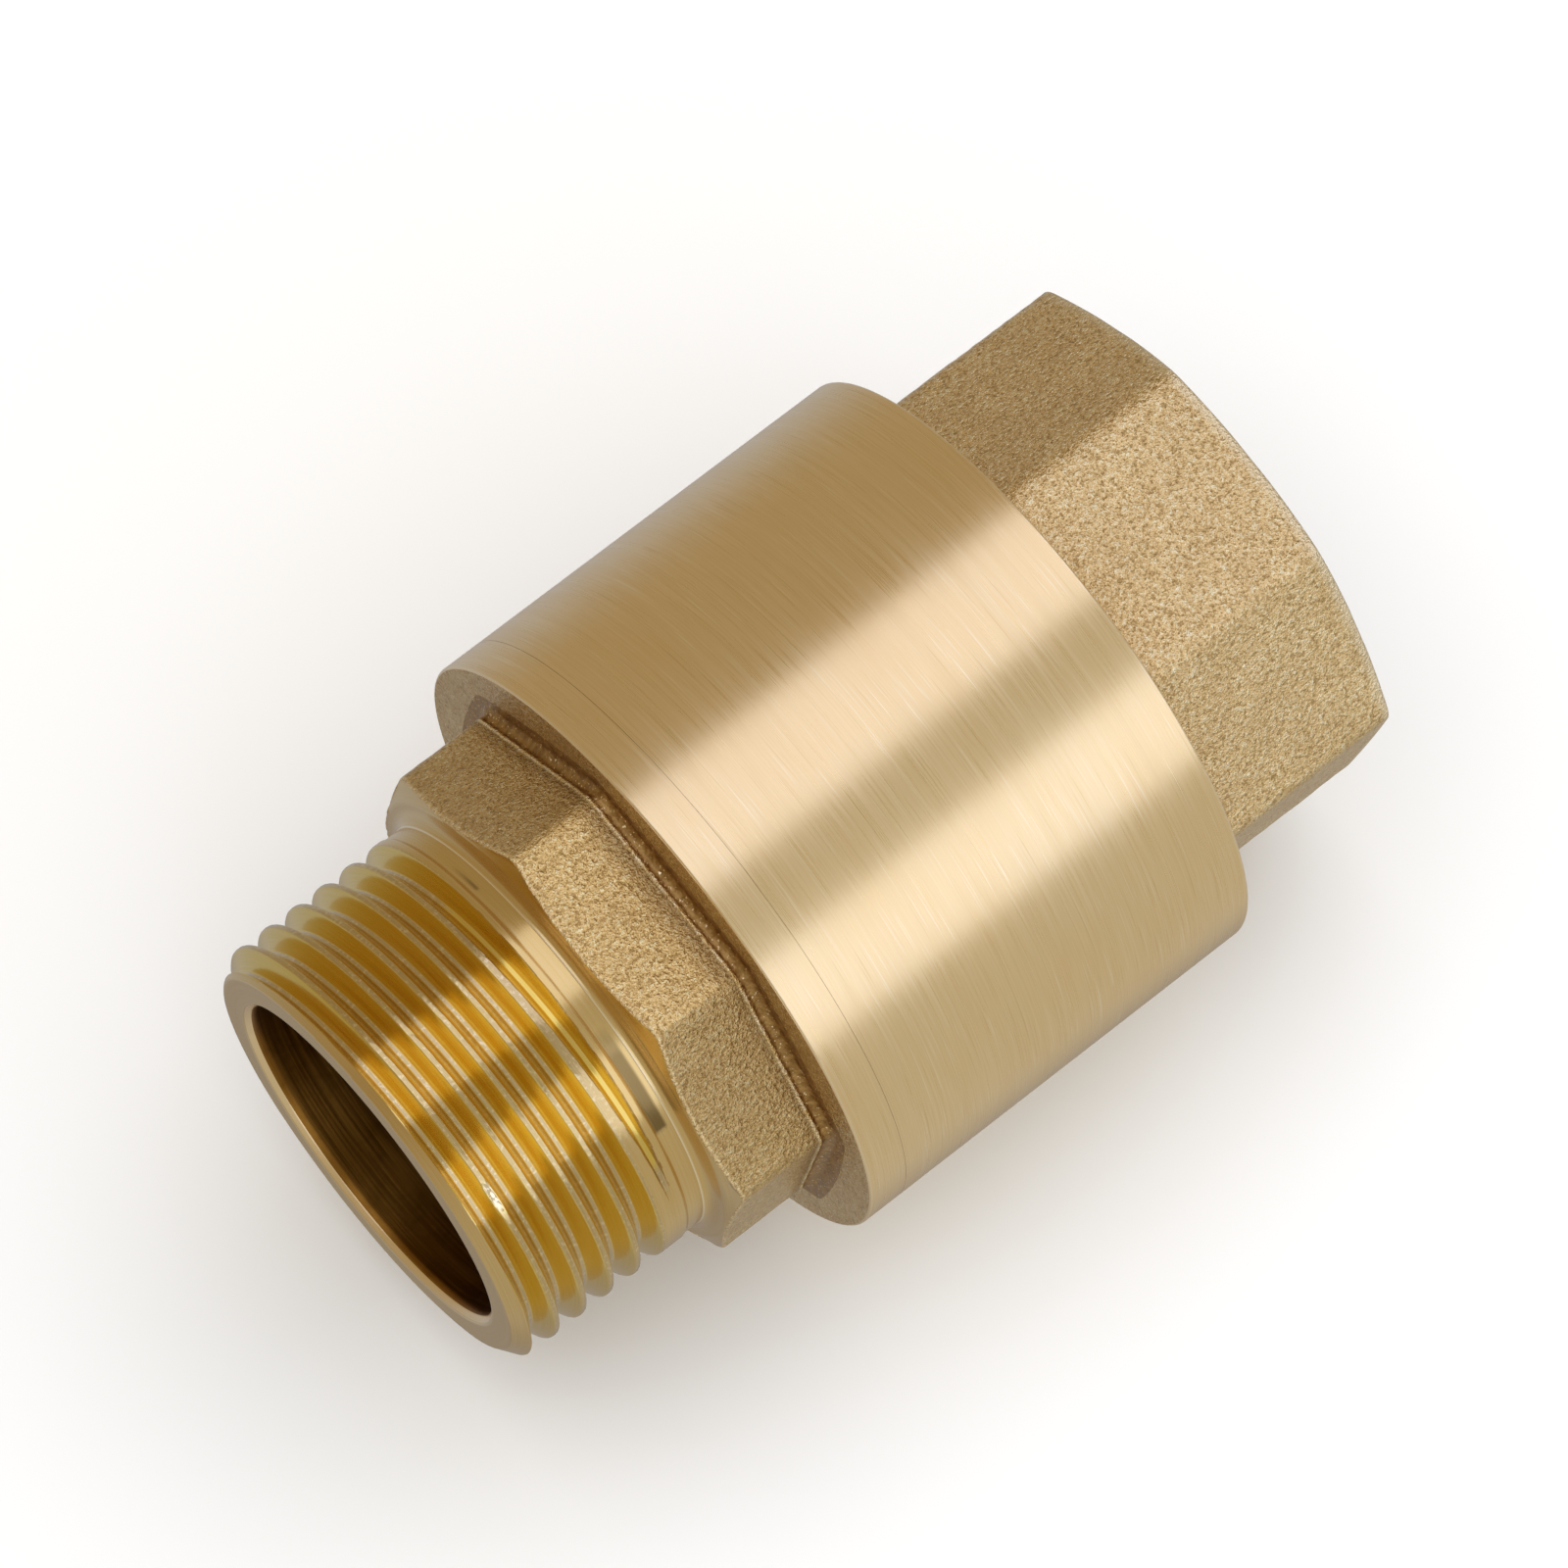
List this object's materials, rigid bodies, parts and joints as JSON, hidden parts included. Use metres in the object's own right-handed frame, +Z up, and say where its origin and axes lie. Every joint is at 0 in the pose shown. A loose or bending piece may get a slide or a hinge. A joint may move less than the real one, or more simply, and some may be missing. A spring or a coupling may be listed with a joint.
{
  "type": "check valve",
  "caption": "Brass in-line spring check valve: male threaded inlet, female threaded outlet, octagonal spanner ends, spring-loaded poppet with a rubber seal.",
  "frame": {"origin": "on the flow axis, midway between the inlet face and the outlet face", "axes": "+X along the flow axis from the male inlet to the female outlet, +Z up; the valve lies on its barrel"},
  "size_m": [0.073, 0.0466, 0.0466],
  "materials": {
    "cast_brass": "shot-blasted casting with a satin-turned barrel",
    "turned_brass": "turned, with cut threads",
    "inner_brass": "fine turned",
    "black_rubber": "matte",
    "white_polymer": "matte",
    "stainless": "bright drawn"
  },
  "bodies": {
    "housing": {"valve_body": "cast_brass", "end_connector": "turned_brass", "joint_o_ring": "black_rubber", "guide_spider": "inner_brass", "guide_bush": "white_polymer", "closing_spring": "stainless"},
    "poppet_assembly": {"poppet": "inner_brass", "seal_ring": "black_rubber", "seal_plate": "inner_brass", "lock_washer": "stainless", "plate_nut": "stainless"}
  },
  "joints": [
    {"name": "poppet_lift", "type": "slide", "parent": "housing", "child": "poppet_assembly", "axis": [1, 0, 0], "range_m": [0, 0.0065], "stiffness_N_per_m": 500, "springref_m": -0.0025, "deforming": ["closing_spring"]}
  ]
}
